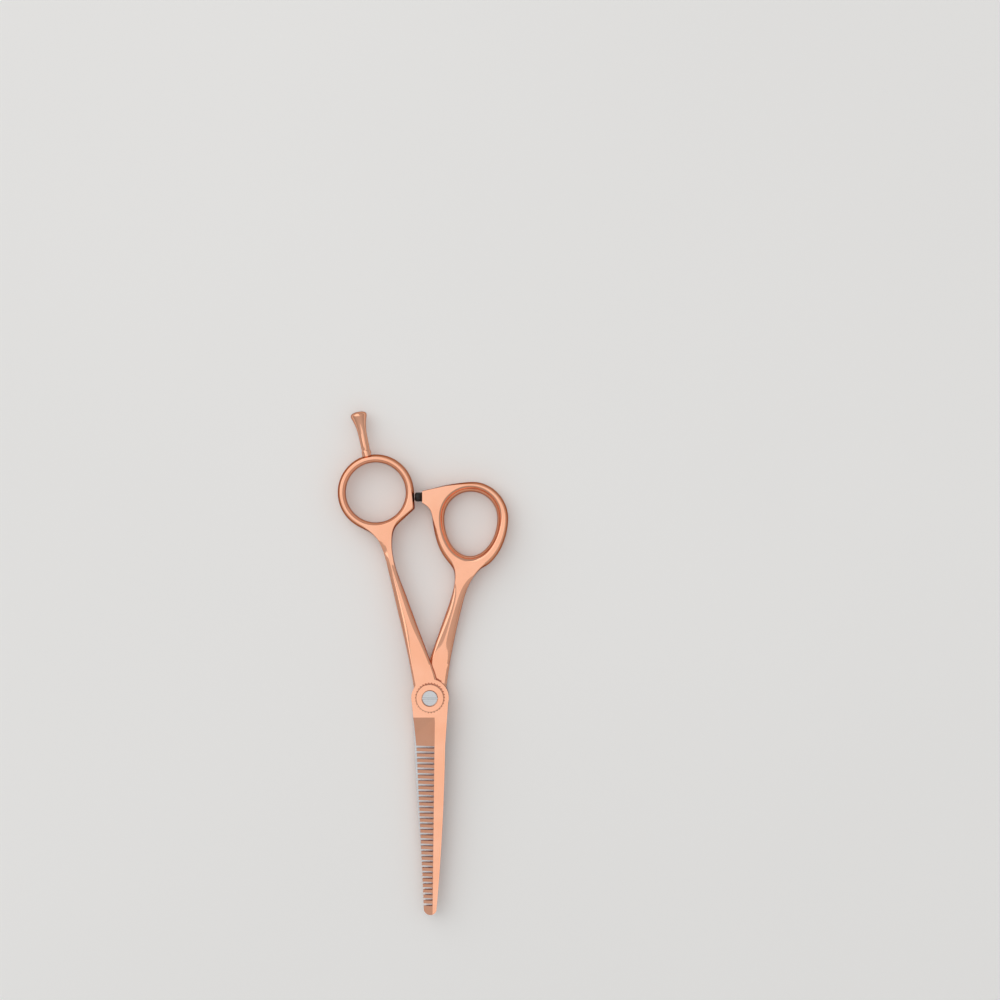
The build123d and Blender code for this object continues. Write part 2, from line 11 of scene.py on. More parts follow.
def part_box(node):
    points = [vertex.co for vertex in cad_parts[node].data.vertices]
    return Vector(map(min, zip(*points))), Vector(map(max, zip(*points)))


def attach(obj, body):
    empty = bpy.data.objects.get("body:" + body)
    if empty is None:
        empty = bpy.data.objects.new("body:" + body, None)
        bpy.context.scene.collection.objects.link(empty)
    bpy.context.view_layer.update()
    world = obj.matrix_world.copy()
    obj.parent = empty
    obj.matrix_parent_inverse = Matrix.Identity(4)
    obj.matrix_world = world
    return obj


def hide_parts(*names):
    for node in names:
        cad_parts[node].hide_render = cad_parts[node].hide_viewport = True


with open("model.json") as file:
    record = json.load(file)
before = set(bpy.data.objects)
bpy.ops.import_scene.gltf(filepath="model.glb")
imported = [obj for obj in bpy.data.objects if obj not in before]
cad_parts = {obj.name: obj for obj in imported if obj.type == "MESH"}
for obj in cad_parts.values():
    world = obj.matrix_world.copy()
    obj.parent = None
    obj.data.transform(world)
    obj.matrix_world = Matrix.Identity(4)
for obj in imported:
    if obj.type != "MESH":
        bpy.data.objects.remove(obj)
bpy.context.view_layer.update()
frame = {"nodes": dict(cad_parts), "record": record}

bl_info = {
    "name": "Thinning Shears",
    "version": (1, 0, 0),
    "blender": (4, 5, 0),
    "location": "3D View > Sidebar > Shears",
    "description": "Builds rose-gold thinning shears around their CAD frame",
    "category": "Add Mesh",
}

MM = 0.001
mounts = {mount["name"]: mount for mount in frame["record"]["mounts"]}
finger_mount = mounts["finger_ring_bore"]
ring_middle = finger_mount["pos_m"][2]
rings_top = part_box("finger_handle")[1].z


# ---- sizes and colours ----
def linear(hex_colour):
    """Turns an sRGB hex colour into Blender's linear one."""
    channels = [int(hex_colour[start:start + 2], 16) / 255 for start in (1, 3, 5)]
    return [c / 12.92 if c <= 0.04045 else ((c + 0.055) / 1.055) ** 2.4 for c in channels]


def length_setting(name, description, millimetres):
    """A length, its default given in millimetres."""
    return FloatProperty(
        name=name, description=description, default=millimetres * MM, unit="LENGTH", precision=5
    )


def pair_setting(name, description, metres):
    """Two lengths in metres: a place in the shears' plane, or an inner and an outer radius."""
    return FloatVectorProperty(
        name=name, description=description, default=metres, size=2, unit="LENGTH", precision=5
    )


def angle_setting(name, description, degrees):
    """An angle, its default given in degrees."""
    return FloatProperty(
        name=name, description=description, default=math.radians(degrees), subtype="ANGLE"
    )


def colour_setting(name, description, hex_colour):
    """A colour, its default given as sRGB hex."""
    return FloatVectorProperty(
        name=name, description=description, default=linear(hex_colour), size=3, subtype="COLOR",
        min=0, max=1,
    )


class RingSizes(bpy.types.PropertyGroup):
    """Sizes of the finger ring and the thumb ring."""

    height: length_setting("Height", "Thickness of both rings, from land to land", 5.6)
    finger_centre: pair_setting(
        "Finger ring centre", "Middle of the finger ring", finger_mount["pos_m"][:2]
    )
    finger_bore: length_setting(
        "Finger bore", "Radius of the finger ring's hole", finger_mount["dims"]["r_mm"]
    )
    finger_land: pair_setting(
        "Finger land", "Inner and outer radius of the finger ring's flat", (10.85 * MM, 11.8 * MM)
    )
    finger_outer: length_setting(
        "Finger outside", "Outer radius of the finger ring at mid height", 12.6
    )
    thumb_centre: pair_setting(
        "Thumb ring centre", "Middle of the thumb ring's round half", (13.5 * MM, 59.1 * MM)
    )
    thumb_bore: length_setting("Thumb bore", "Radius of the thumb ring's round half", 8.7)
    thumb_land: pair_setting(
        "Thumb land", "Inner and outer radius of the thumb ring's flat", (9.9 * MM, 11.5 * MM)
    )
    thumb_outer: length_setting(
        "Thumb outside", "Outer radius of the thumb ring at mid height", 12.3
    )
    flare_shift: pair_setting(
        "Flare shift", "Middle of the thumb ring's hollow flare, from the ring's own",
        (-0.2 * MM, 0.55 * MM),
    )
    flare_land: length_setting(
        "Flare land", "Radius of the flare where it meets the upper land", 10.35
    )
    flare_bore: length_setting("Flare bore", "Radius of the flare where it meets the bore", 8.8)
    thumb_stretch: FloatProperty(
        name="Thumb stretch", default=1.42,
        description="How much longer the thumb ring's lower half is than round",
    )
    thumb_lean: angle_setting(
        "Thumb lean", "Turn of the thumb ring's long end towards the pivot", 3
    )


class RestSizes(bpy.types.PropertyGroup):
    """Sizes of the finger rest."""

    rest_seat: pair_setting(
        "Rest seat", "Where the finger rest stands on the ring", (-20.92 * MM, 79.76 * MM)
    )
    rest_length: length_setting("Rest length", "Seat to end of the finger rest", 15.0)
    rest_waist: length_setting(
        "Rest waist", "Radius of the finger rest where it is slimmest", 1.38
    )
    rest_rim: length_setting("Rest rim", "Radius of the finger rest's flared end", 2.65)
    rest_lean: angle_setting("Rest lean", "Lean of the finger rest away from the thumb", 11.7)


class Finishes(bpy.types.PropertyGroup):
    """Colours of the finishes, most with a second colour that the first one drifts to."""

    coating: colour_setting("Coating", "Rose-gold coating on the steel", "#F5B798")
    coating_warm: colour_setting(
        "Coating, warm", "Where the coating is a little thicker", "#F2B08F"
    )
    coating_edge: colour_setting(
        "Coating, edge-on", "What the coating reflects at a low angle", "#8E4A2C"
    )
    steel: colour_setting("Steel", "Bare ground steel", "#C8C9CB")
    steel_dull: colour_setting("Steel, dull", "Where the wheel cut a little coarser", "#C1C3C5")
    bearing: colour_setting("Bearing steel", "Polished hardened steel", "#D2D3D6")
    bearing_dull: colour_setting("Bearing steel, dull", "Where the lapping left a cloud", "#C4C6CA")
    brass: colour_setting("Brass", "Stamped brass of the ball cage", "#CFA75F")
    brass_dull: colour_setting("Brass, dull", "Where the brass has tarnished a little", "#B98F4C")
    bronze: colour_setting("Bronze", "Sintered bronze of the bush", "#A9764C")
    bronze_pores: colour_setting("Bronze pores", "Oil in the bronze's pores", "#5A3A22")
    plastic: colour_setting("Plastic", "White washer between the blades", "#ECECE8")
    plastic_dull: colour_setting("Plastic, dull", "Where the washer is a little greyer", "#DCDCD6")
    rubber: colour_setting("Rubber", "Black rubber of the bumper", "#101011")
    rubber_grey: colour_setting("Rubber, grey", "Where the mould was smoother", "#1C1C1D")


class Stage(bpy.types.PropertyGroup):
    """The floor and the camera."""

    floor: colour_setting("Floor", "Colour of the pale floor", "#F8F7F5")
    floor_dull: colour_setting("Floor, dull", "What the floor's colour drifts to", "#F5F4F2")
    camera_height: length_setting("Camera height", "Height of the camera over the floor", 900)
    view_width: length_setting(
        "View width", "Width that the camera sees at the rings' upper lands", 330
    )
    view_centre: pair_setting(
        "View centre", "Point that the camera looks down on", (0.0231, 0.0653)
    )


# ---- meshes ----
RING_STEPS = 24                 # corners round a ring's cage
STEP = 360 / RING_STEPS         # degrees from one to the next
RING_CREASE = 0.9
LAND_EDGE = 20                  # a land's edge turns by more degrees than this
MID_BAND = 0.1 * MM             # corners this near to mid height are at mid height
FLUSH = 0.02 * MM               # what lies this near to a plane or a circle lies in it
COPY_JOIN = 0.0005 * MM         # corners of a CAD node's copy nearer than this are one
COPY_FLAT = 0.2                 # and so are its faces that turn by fewer degrees than this
BREAK_TURN = 35                 # edges that turn by more degrees than this are broken
BREAK_STEPS = 2
BROAD_FACE = 3 * MM * MM        # the area that makes a face broad
SHALLOW_TURN = 12               # shallow edges that turn by more degrees than this part the light
SHARP_TURN = 50                 # and so do others by more than this
FACE_WEIGHT = 60                # how far a broad face outweighs a narrow one in the light, to 100

# A row runs from its left to its right point. Its upper and lower face lie at its middle height
# plus and minus half, and drop away towards each end. Its sides bulge, its line sags, its edges are
# creased, and a ridge is a crease down its middle.
Row = namedtuple("Row", "left right middle half bulge sag crease drop ridge", defaults=[0])


def angle_of(spot):
    """The angle of a spot round Z, in degrees."""
    return math.degrees(math.atan2(spot.y, spot.x))


def cage_growth(steps):
    """How much wider a cage of so many steps is than the round surface that it rounds off to."""
    return 6 / (4 + 2 * math.cos(math.tau / steps))


def spin_profile(bm, profile, steps, turn=0, closed=False):
    """Spins a profile of radii and heights all the way round Z, starting at an angle."""
    columns = []
    for step in range(steps):
        angle = turn + math.tau * step / steps
        # A corner on the axis is shared by all the columns.
        columns.append([
            bm.verts.new((radius * math.cos(angle), radius * math.sin(angle), height))
            if radius or not step else columns[0][number]
            for number, (radius, height) in enumerate(profile)
        ])
    for column, after in zip(columns, columns[1:] + columns[:1]):
        near, far = list(zip(column, column[1:])), list(zip(after, after[1:]))
        if closed:
            near.append((column[-1], column[0]))
            far.append((after[-1], after[0]))
        for (first, second), (fourth, third) in zip(near, far):
            # Next to the axis two of the four corners are one.
            bm.faces.new(dict.fromkeys((first, second, third, fourth)))
    bm.normal_update()


def spun_ring(bm, bore, land, outer, height, turn=0):
    """Spins a ring's cage: flat lands, a bowed outside and a bore that rounds into its lands."""
    top = height / 2
    # Rounding draws the bow in by a third of its way to the land's edge, which brings it to outer.
    bow = 1.5 * outer - 0.5 * land[1]
    profile = [
        (land[0], top), (land[1], top), (bow, 0), (land[1], -top), (land[0], -top),
        (bore, -top / 2), (bore, top / 2),
    ]
    growth = cage_growth(RING_STEPS)
    spin_profile(bm, [(radius * growth, z) for radius, z in profile], RING_STEPS, turn, closed=True)


def open_wall(bm, first, last, wall):
    """Opens the outside wall between two angles. Returns each rim corner's number and level."""
    gone = []
    for face in bm.faces:
        middle = face.calc_center_median()
        if middle.xy.length > wall and (angle_of(middle) - first) % 360 < last - first:
            gone.append(face)
    kept = {vert for face in bm.faces if face not in gone for vert in face.verts}
    rim = {vert for face in gone for vert in face.verts if vert in kept}
    bmesh.ops.delete(bm, geom=gone, context="FACES")
    numbered = {}
    for vert in rim:
        number = int((angle_of(vert.co) - first + STEP / 2) % 360 / STEP)
        level = 0 if abs(vert.co.z) < MID_BAND else math.copysign(1, vert.co.z)
        numbered[vert] = (number, level)
    return numbered


def smooth_root(rim, crease):
    """Takes the crease out of the land's edge where an arm carries on level with it."""
    for vert in rim:
        for edge in vert.link_edges:
            if all(end in rim and rim[end][1] for end in edge.verts):
                edge[crease] = 0


def in_row(row, number, level, count):
    """The place of a corner in a row, in metres."""
    share = number / count
    left, right = Vector(row.left), Vector(row.right)
    # The line sags most halfway, by the whole of the row's sag.
    spot = left.lerp(right, share) + Vector(row.sag) * 4 * share * (1 - share)
    if level == 0:
        outward = (left - right).normalized() * row.bulge
        spot += outward if number == 0 else -outward
    # The faces drop straight from a ridge, and otherwise in a curve.
    power = 1 if row.ridge else 2
    drop = row.drop[0 if share < 0.5 else 1] * abs(2 * share - 1) ** power
    return Vector((spot.x, spot.y, row.middle + level * (row.half - drop))) * MM


def open_edges(bm, rim):
    """The open edges between the corners of a rim."""
    return [
        edge for edge in bm.edges
        if edge.is_boundary and all(vert in rim for vert in edge.verts)
    ]


def draw_arm(bm, rim, rows, crease):
    """Draws an opened rim out through the rows, creases its long edges and closes its end flat."""
    count = max(number for number, level in rim.values())
    for row in rows:
        open_now = open_edges(bm, rim)
        drawn = {
            vert: bm.verts.new(in_row(row, *rim[vert], count))
            for vert in sorted(rim, key=rim.get)
        }
        for first, second in [edge.verts for edge in open_now]:
            bm.faces.new((first, second, drawn[second], drawn[first]))
        for vert, end in drawn.items():
            number, level = rim[vert]
            rib = bm.edges.get((vert, end))
            if level and number in (0, count):
                rib[crease] = row.crease
            elif level and number == count // 2:
                rib[crease] = row.ridge
        rim = {end: rim[vert] for vert, end in drawn.items()}
    # A sharp end, so that no seam shows where the blade carries on.
    last = open_edges(bm, rim)
    for edge in last:
        edge[crease] = 1
        edge.smooth = False
    bmesh.ops.contextual_create(bm, geom=last)


def crease_lands(bm, top, crease):
    """Creases the ring's land edges, where the land meets the outside wall or the bore."""
    for edge in bm.edges:
        level = all(abs(abs(vert.co.z) - top) < FLUSH for vert in edge.verts)
        radii = [vert.co.xy.length for vert in edge.verts]
        along = abs(radii[0] - radii[1]) < FLUSH
        if level and along and edge.calc_face_angle(0) > math.radians(LAND_EDGE):
            edge[crease] = RING_CREASE


def finished(bm, name, body, nodes, coats, subdivisions=0):
    """Turns a bmesh into a smooth object that rides on its body and stands for its CAD nodes."""
    bmesh.ops.recalc_face_normals(bm, faces=bm.faces)
    mesh = bpy.data.meshes.new(name)
    bm.to_mesh(mesh)
    bm.free()
    mesh.polygons.foreach_set("use_smooth", [True] * len(mesh.polygons))
    piece = bpy.data.objects.new(name, mesh)
    bpy.context.scene.collection.objects.link(piece)
    for coat in coats:
        mesh.materials.append(finish(coat))
    if subdivisions:
        rounding = piece.modifiers.new("Rounding", "SUBSURF")
        rounding.levels = subdivisions
        rounding.render_levels = subdivisions
    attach(piece, body)
    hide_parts(*nodes)
    return piece


def merged_copy(node):
    """A copy of a CAD node's mesh as a bmesh, its loose triangles merged into whole faces."""
    bm = bmesh.new()
    bm.from_mesh(frame["nodes"][node].data)
    bmesh.ops.remove_doubles(bm, verts=bm.verts, dist=COPY_JOIN)
    bmesh.ops.dissolve_limit(
        bm, angle_limit=math.radians(COPY_FLAT), verts=bm.verts, edges=bm.edges
    )
    return bm


def break_edges(bm, width, kept=None):
    """Breaks sharp edges with a small round, as polishing does, but not in the plane y = kept."""
    sharp = [
        edge for edge in bm.edges
        if edge.is_manifold and edge.calc_face_angle() > math.radians(BREAK_TURN)
        and (kept is None or any(abs(vert.co.y - kept) > FLUSH for vert in edge.verts))
    ]
    bmesh.ops.bevel(
        bm, geom=sharp, offset=width, offset_type="OFFSET", affect="EDGES",
        segments=BREAK_STEPS, profile=0.5, material=-1, clamp_overlap=True,
    )


def part_faces(bm, width):
    """Parts the light along sharp edges, and along the shallow ones that grinding leaves crisp."""
    bm.normal_update()
    for edge in bm.edges:
        if edge.is_manifold:
            # A shallow edge lies between two broad faces, and goes on across a broken edge. There
            # it is shorter than the broken edge is wide.
            broad = all(face.calc_area() > BROAD_FACE for face in edge.link_faces)
            shallow = broad or edge.calc_length() < width
            turn = SHALLOW_TURN if shallow else SHARP_TURN
            edge.smooth = edge.calc_face_angle() < math.radians(turn)


def weigh_normals(piece):
    """Keeps flat faces flat in the light, with only the broken edges turning it."""
    weighing = piece.modifiers.new("Flat faces", "WEIGHTED_NORMAL")
    weighing.keep_sharp = True
    weighing.weight = FACE_WEIGHT


# ---- materials ----
COLOUR_DRIFT = (0.35, 0.65)     # the noise levels between which a colour drifts
VALUE_DRIFT = (0.3, 0.7)        # and a roughness or a height
BUMP_WAVES = (0, 1)


def add_node(tree, kind, inputs=None, **settings):
    """Adds a node with its settings, and gives each named or numbered input a value or a link."""
    node = tree.nodes.new(kind)
    for name, value in settings.items():
        setattr(node, name, value)
    for name, value in (inputs or {}).items():
        if isinstance(value, bpy.types.NodeSocket):
            tree.links.new(value, node.inputs[name])
        else:
            node.inputs[name].default_value = value
    return node


def rescaled(tree, value, source, target=(0, 1)):
    """A value taken from one range to another, and kept inside it."""
    node = add_node(
        tree, "ShaderNodeMapRange",
        {"Value": value, "From Min": source[0], "From Max": source[1], "To Min": target[0],
         "To Max": target[1]},
    )
    return node.outputs["Result"]


def mixed(tree, share, first, second):
    """A colour mixed from two. Inputs 6 and 7 and output 2 are the Mix node's colours."""
    node = add_node(
        tree, "ShaderNodeMix", {0: share, 6: (*first, 1), 7: (*second, 1)}, data_type="RGBA"
    )
    return node.outputs[2]


class Surface:
    """A material in the making, whose colour, roughness and bump follow Object coordinates."""

    def __init__(self, name, **values):
        """Starts the material, with its uniform values on the shader's own sockets."""
        self.material = bpy.data.materials.new(name)
        self.material.use_nodes = True
        self.tree = self.material.node_tree
        self.shader = self.tree.nodes["Principled BSDF"]
        for socket, value in values.items():
            self.shader.inputs[socket.replace("_", " ")].default_value = value
        self.where = add_node(self.tree, "ShaderNodeTexCoord").outputs["Object"]

    def feed(self, socket, value):
        """Links a value or a colour to one of the shader's sockets."""
        self.tree.links.new(value, self.shader.inputs[socket])

    def drift(self, first, second, size):
        """A colour that drifts between two shades in patches of the given size."""
        noise = add_node(
            self.tree, "ShaderNodeTexNoise",
            {"Vector": self.where, "Scale": 1 / size, "Detail": 3.0},
        )
        share = rescaled(self.tree, noise.outputs["Fac"], COLOUR_DRIFT)
        return mixed(self.tree, share, first, second)

    def grain(self, span, size, stretch=(1, 1, 1)):
        """A value that drifts over a span in patches of the given size, stretched along an axis."""
        place = add_node(self.tree, "ShaderNodeMapping", {"Vector": self.where, "Scale": stretch})
        noise = add_node(
            self.tree, "ShaderNodeTexNoise",
            {"Vector": place.outputs[0], "Scale": 1 / size, "Detail": 4.0},
        )
        return rescaled(self.tree, noise.outputs["Fac"], VALUE_DRIFT, span)

    def bump(self, waves, depth, strength):
        """Gives the shader a bump of the given real depth."""
        node = add_node(
            self.tree, "ShaderNodeBump", {"Height": waves, "Distance": depth, "Strength": strength}
        )
        self.feed("Normal", node.outputs["Normal"])


def rose_gold_coating(finishes):
    """Rose-gold vapour coating over mirror-polished stainless steel."""
    # Buffed before it is coated, so it mirrors softly: faint smears from the wheel, no grain.
    surface = Surface(
        "rose_gold_coating_polished", Metallic=1.0, Specular_Tint=(*finishes.coating_edge, 1)
    )
    surface.feed("Base Color", surface.drift(finishes.coating, finishes.coating_warm, 9 * MM))
    surface.feed("Roughness", surface.grain((0.05, 0.09), 4 * MM))
    # Buffing waves 3 mm wide, a few thousandths of a millimetre deep.
    surface.bump(surface.grain(BUMP_WAVES, 3 * MM), 0.003 * MM, 0.4)
    return surface.material


def ground_steel(finishes):
    """Bare stainless steel, ground across on a wheel."""
    # Fine straight lines run across the blade, 0.2 mm apart: coarser than a fine wheel leaves them.
    surface = Surface("stainless_steel_ground", Metallic=1.0)
    surface.feed("Base Color", surface.drift(finishes.steel, finishes.steel_dull, 5 * MM))
    surface.feed("Roughness", surface.grain((0.24, 0.31), 0.4 * MM, stretch=(0.05, 1, 1)))
    surface.bump(surface.grain(BUMP_WAVES, 0.2 * MM, stretch=(0.04, 1, 1)), 0.003 * MM, 0.6)
    return surface.material


def bearing_steel(finishes):
    """Hardened chrome steel, lapped bright."""
    # Lapping leaves a clear shine with a hint of cloud.
    surface = Surface("bearing_steel_lapped", Metallic=1.0)
    surface.feed("Base Color", surface.drift(finishes.bearing, finishes.bearing_dull, 2 * MM))
    surface.feed("Roughness", surface.grain((0.1, 0.18), 0.6 * MM))
    return surface.material


def cage_brass(finishes):
    """Rolled and stamped brass sheet."""
    # Rolling lines run one way, 0.15 mm apart.
    surface = Surface("brass_stamped", Metallic=1.0)
    rolled = (0.1, 1, 1)
    surface.feed("Base Color", surface.drift(finishes.brass, finishes.brass_dull, 1.5 * MM))
    surface.feed("Roughness", surface.grain((0.24, 0.36), 0.15 * MM, rolled))
    surface.bump(surface.grain(BUMP_WAVES, 0.15 * MM, rolled), 0.002 * MM, 0.5)
    return surface.material


def bush_bronze(finishes):
    """Sintered bronze, soaked in oil."""
    # Pores 0.08 mm wide between the pressed grains, dark with oil.
    surface = Surface("bronze_sintered", Metallic=1.0)
    tree = surface.tree
    cells = add_node(
        tree, "ShaderNodeTexVoronoi", {"Vector": surface.where, "Scale": 1 / (0.16 * MM)}
    )
    metal = rescaled(tree, cells.outputs["Distance"], (0.1, 0.4))
    surface.feed("Base Color", mixed(tree, metal, finishes.bronze_pores, finishes.bronze))
    surface.feed("Roughness", surface.grain((0.38, 0.52), 0.5 * MM))
    surface.bump(metal, 0.01 * MM, 0.6)
    return surface.material


def washer_plastic(finishes):
    """Fluoropolymer, skived from a rod."""
    # Waxy and a little see-through, with faint turning marks.
    surface = Surface(
        "fluoropolymer_skived", Subsurface_Weight=0.2, Subsurface_Scale=0.6 * MM, IOR=1.38
    )
    surface.feed("Base Color", surface.drift(finishes.plastic, finishes.plastic_dull, 2 * MM))
    surface.feed("Roughness", surface.grain((0.38, 0.5), 0.4 * MM))
    return surface.material


def bumper_rubber(finishes):
    """Nitrile rubber, moulded in a blasted tool."""
    # Matt skin with a 0.12 mm grain, greyer where the mould was smoother.
    surface = Surface("nitrile_rubber_moulded", IOR=1.52)
    surface.feed("Base Color", surface.drift(finishes.rubber, finishes.rubber_grey, 0.8 * MM))
    surface.feed("Roughness", surface.grain((0.5, 0.66), 0.3 * MM))
    surface.bump(surface.grain(BUMP_WAVES, 0.12 * MM), 0.01 * MM, 0.6)
    return surface.material


MAKERS = {
    "coating": rose_gold_coating,
    "steel": ground_steel,
    "bearing": bearing_steel,
    "brass": cage_brass,
    "bronze": bush_bronze,
    "plastic": washer_plastic,
    "rubber": bumper_rubber,
}
made_finishes = {}


def finish(name):
    """The named finish, made the first time that it is asked for."""
    if name not in made_finishes:
        made_finishes[name] = MAKERS[name](bpy.context.scene.shears_finishes)
    return made_finishes[name]


# ---- handles: angles in degrees, and rows in millimetres from the ring outwards ----
MIDDLE = ring_middle / MM
FINGER_TURN = -22.6             # the stop corner's angle, where the ring's first step is
FINGER_NECK = (-112.6, -52.6)   # where the neck leaves the finger ring
CORNER_WALL = (14.2, 13.05)     # how far the wall reaches at the stop corner and a step away, in mm
CORNER_LAND = (13.6, 12.1)      # and the land
THUMB_NECK = (-120, -60)
THUMB_WING = (90, 195)
HANDLE_ROUNDS = 3
FINGER_ROWS = (
    Row((-19.4, 54.6), (-12.5, 55.6), MIDDLE, 2.8, 0.4, (0, -0.4), 0.9, (0, 0)),
    Row((-17.1, 52.0), (-12.7, 52.0), MIDDLE, 2.8, 0.15, (0, -0.1), 0.9, (0, 0)),
    Row((-16.75, 51.2), (-12.7, 51.2), MIDDLE, 2.8, 0.1, (0, 0), 0.9, (0.22, 0), 0.9),
    Row((-15.75, 49.2), (-12.7, 49.0), MIDDLE, 2.8, 0.05, (0, 0), 0.9, (0.26, 0), 0.9),
    Row((-14.6, 45.5), (-12.1, 45.2), MIDDLE + 0.03, 2.78, 0.05, (0, 0), 0.7, (0.4, 0.2), 0.8),
    Row((-13.5, 40.5), (-10.6, 40.2), MIDDLE + 0.1, 2.75, 0.05, (0, 0), 0.4, (0.6, 0.5), 0.4),
    Row((-12.4, 36.0), (-8.8, 36.0), MIDDLE + 0.2, 2.7, 0, (0, 0), 0.2, (0.8, 0.7)),
    Row((-11.1, 30.0), (-6.6, 30.0), MIDDLE + 0.55, 2.55, 0, (0, 0), 0, (0.8, 0.8)),
    Row((-9.6, 24.0), (-4.4, 24.0), MIDDLE + 1.0, 2.35, 0, (0, 0), 0, (0.7, 0.7)),
    Row((-8.3, 18.5), (-2.3, 18.5), MIDDLE + 1.45, 2.0, 0, (0, 0), 0, (0.45, 0.45)),
    Row((-7.3, 14.0), (-0.65, 14.0), MIDDLE + 1.73, 1.72, 0, (0, 0), 0, (0.15, 0.15)),
    Row((-6.72, 11.0), (0.46, 11.0), MIDDLE + 1.75, 1.7, 0, (0, 0), 0, (0, 0)),
)
THUMB_ROWS = (
    Row((8.2, 42.4), (16.6, 42.9), MIDDLE, 2.8, 0.5, (0, -0.5), 0.9, (0, 0)),
    Row((8.4, 39.4), (13.8, 39.4), MIDDLE, 2.78, 0.2, (0, -0.1), 0.8, (0, 0.2)),
    Row((7.6, 35.0), (11.7, 35.0), MIDDLE - 0.1, 2.75, 0.05, (0, 0), 0.5, (0.3, 0.6)),
    Row((6.0, 30.0), (10.5, 30.0), MIDDLE - 0.45, 2.6, 0, (0, 0), 0.2, (0.7, 0.8)),
    Row((3.8, 24.0), (9.0, 24.0), MIDDLE - 1.0, 2.35, 0, (0, 0), 0, (0.7, 0.7)),
    Row((1.9, 18.5), (7.8, 18.5), MIDDLE - 1.45, 2.0, 0, (0, 0), 0, (0.45, 0.45)),
    Row((0.3, 14.0), (6.95, 14.0), MIDDLE - 1.73, 1.72, 0, (0, 0), 0, (0.15, 0.15)),
    Row((-0.75, 11.0), (6.4, 11.0), MIDDLE - 1.75, 1.7, 0, (0, 0), 0, (0, 0)),
)
WING_ROWS = (
    Row((6.0, 70.2), (0.9, 58.6), MIDDLE, 2.8, 0.5, (-0.8, 0.5), 0.9, (0, 0)),
    Row((1.9, 69.2), (0.3, 62.6), MIDDLE, 2.8, 0.4, (-0.2, 0.1), 0.9, (0, 0)),
    Row((-2.6, 68.2), (-2.6, 64.4), MIDDLE, 2.8, 0.3, (0, 0), 1, (0, 0)),
)


class SHEARS_OT_finger_handle(bpy.types.Operator):
    """Build the finger handle: a round ring with a stop corner, a neck and a shank."""

    bl_idname = "shears.finger_handle"
    bl_label = "Finger Handle"

    def execute(self, context):
        rings = context.scene.shears_rings
        bm = bmesh.new()
        crease = bm.edges.layers.float.new("crease_edge")
        spun_ring(
            bm, rings.finger_bore, rings.finger_land, rings.finger_outer, rings.height,
            math.radians(FINGER_TURN),
        )
        crease_lands(bm, rings.height / 2, crease)
        self.pull_corner(bm, rings, crease)
        neck = open_wall(bm, *FINGER_NECK, rings.finger_land[1])
        smooth_root(neck, crease)
        bmesh.ops.translate(bm, verts=bm.verts, vec=(*rings.finger_centre, ring_middle))
        draw_arm(bm, neck, FINGER_ROWS, crease)
        finished(
            bm, "forged_finger_handle", "finger_half", ["finger_handle"],
            ["coating"], HANDLE_ROUNDS,
        )
        return {"FINISHED"}

    def pull_corner(self, bm, rings, crease):
        """Pulls the outside wall, and the lands with it, out to the stop corner for the bumper."""
        land_middle = sum(rings.finger_land) / 2
        for vert in bm.verts:
            steps = abs(round((angle_of(vert.co) - FINGER_TURN) / STEP))
            radius = vert.co.xy.length
            if steps > 1 or radius < land_middle:
                continue
            wall = radius > rings.finger_outer
            reach = (CORNER_WALL if wall else CORNER_LAND)[steps] * MM
            # The corner itself is creased. Its neighbours are rounded off, so their cage is wider.
            if steps:
                reach *= cage_growth(RING_STEPS)
            vert.co.xy *= reach / radius
        for edge in bm.edges:
            outside = all(vert.co.xy.length > rings.finger_outer for vert in edge.verts)
            upright = all(abs(angle_of(vert.co) - FINGER_TURN) < 1 for vert in edge.verts)
            if outside and upright:
                edge[crease] = RING_CREASE


class SHEARS_OT_thumb_handle(bpy.types.Operator):
    """Build the thumb handle: a long ring with a stop wing, a neck and a shank."""

    bl_idname = "shears.thumb_handle"
    bl_label = "Thumb Handle"

    def execute(self, context):
        rings = context.scene.shears_rings
        bm = bmesh.new()
        crease = bm.edges.layers.float.new("crease_edge")
        spun_ring(bm, rings.thumb_bore, rings.thumb_land, rings.thumb_outer, rings.height)
        crease_lands(bm, rings.height / 2, crease)
        neck = open_wall(bm, *THUMB_NECK, rings.thumb_land[1])
        wing = open_wall(bm, *THUMB_WING, rings.thumb_land[1])
        for rim in (neck, wing):
            smooth_root(rim, crease)
        self.flare(bm, rings)
        for vert in bm.verts:
            if vert.co.y < 0:
                vert.co.y *= rings.thumb_stretch
        lean = Matrix.Rotation(-rings.thumb_lean, 3, "Z")
        bmesh.ops.rotate(bm, verts=bm.verts, cent=(0, 0, 0), matrix=lean)
        bmesh.ops.translate(bm, verts=bm.verts, vec=(*rings.thumb_centre, ring_middle))
        draw_arm(bm, neck, THUMB_ROWS, crease)
        draw_arm(bm, wing, WING_ROWS, crease)
        finished(
            bm, "forged_thumb_handle", "thumb_half", ["thumb_handle"],
            ["coating"], HANDLE_ROUNDS,
        )
        return {"FINISHED"}

    def flare(self, bm, rings):
        """Widens the bore's upper edge into the hollow flare, which leans to the ring's far end."""
        land_middle = sum(rings.thumb_land) / 2
        growth = cage_growth(RING_STEPS)
        for vert in bm.verts:
            if vert.co.z < MID_BAND or vert.co.xy.length > land_middle:
                continue
            # The land lies half the ring's height up, and the bore's edge a quarter.
            radius = rings.flare_land if vert.co.z > rings.height / 3 else rings.flare_bore
            flared = Vector(rings.flare_shift) + vert.co.xy.normalized() * radius * growth
            if flared.length > vert.co.xy.length:
                vert.co.xy = flared


# ---- finger rest and bumper ----
REST_STEPS = 32
REST_ROUNDS = 2
